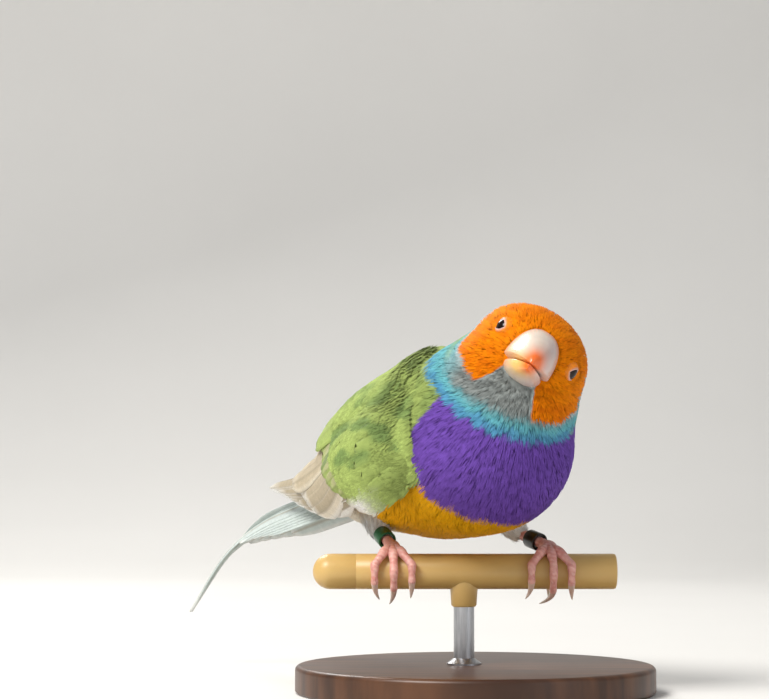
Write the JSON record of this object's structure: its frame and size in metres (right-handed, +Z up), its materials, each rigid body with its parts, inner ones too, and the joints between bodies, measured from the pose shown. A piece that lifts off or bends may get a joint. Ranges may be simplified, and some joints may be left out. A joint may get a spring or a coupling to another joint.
{
  "type": "gouldian finch on a perch",
  "caption": "Life-size perched gouldian finch in a pale colour form, head turned to the viewer, gripping a short cut perch held by a plain display stand.",
  "frame": {"origin": "centre of the stand base's flat underside", "axes": "+Z up, +X along the perch to the viewer's right, -Y towards the viewer that the head faces"},
  "size_m": [0.0914, 0.098, 0.0705],
  "materials": {
    "cream_feather": "soft",
    "purple_feather": "soft",
    "green_feather": "soft",
    "orange_feather": "soft",
    "yellow_feather": "soft",
    "bill_horn": "satin",
    "eye": "gloss",
    "leg_skin": "satin",
    "claw_horn": "satin",
    "green_ring": "gloss",
    "black_ring": "gloss",
    "perch_plastic": "satin",
    "stand_steel": "satin",
    "stand_wood": "satin"
  },
  "bodies": {
    "root": {"rump": "cream_feather", "torso": "purple_feather", "neck": "green_feather", "head": "orange_feather", "bill_upper": "bill_horn", "bill_lower": "bill_horn", "eye_right": "eye", "eye_left": "eye", "wing_right": "green_feather", "wing_left": "green_feather", "tail": "cream_feather", "thigh_right": "yellow_feather", "tarsus_right": "leg_skin", "foot_right": "leg_skin", "leg_ring_right": "green_ring", "claw_right_i": "claw_horn", "claw_right_ii": "claw_horn", "claw_right_iii": "claw_horn", "claw_right_iv": "claw_horn", "thigh_left": "yellow_feather", "tarsus_left": "leg_skin", "foot_left": "leg_skin", "leg_ring_left": "black_ring", "claw_left_i": "claw_horn", "claw_left_ii": "claw_horn", "claw_left_iii": "claw_horn", "claw_left_iv": "claw_horn", "perch": "perch_plastic", "stand_rod": "stand_steel", "stand_base": "stand_wood"}
  },
  "joints": []
}
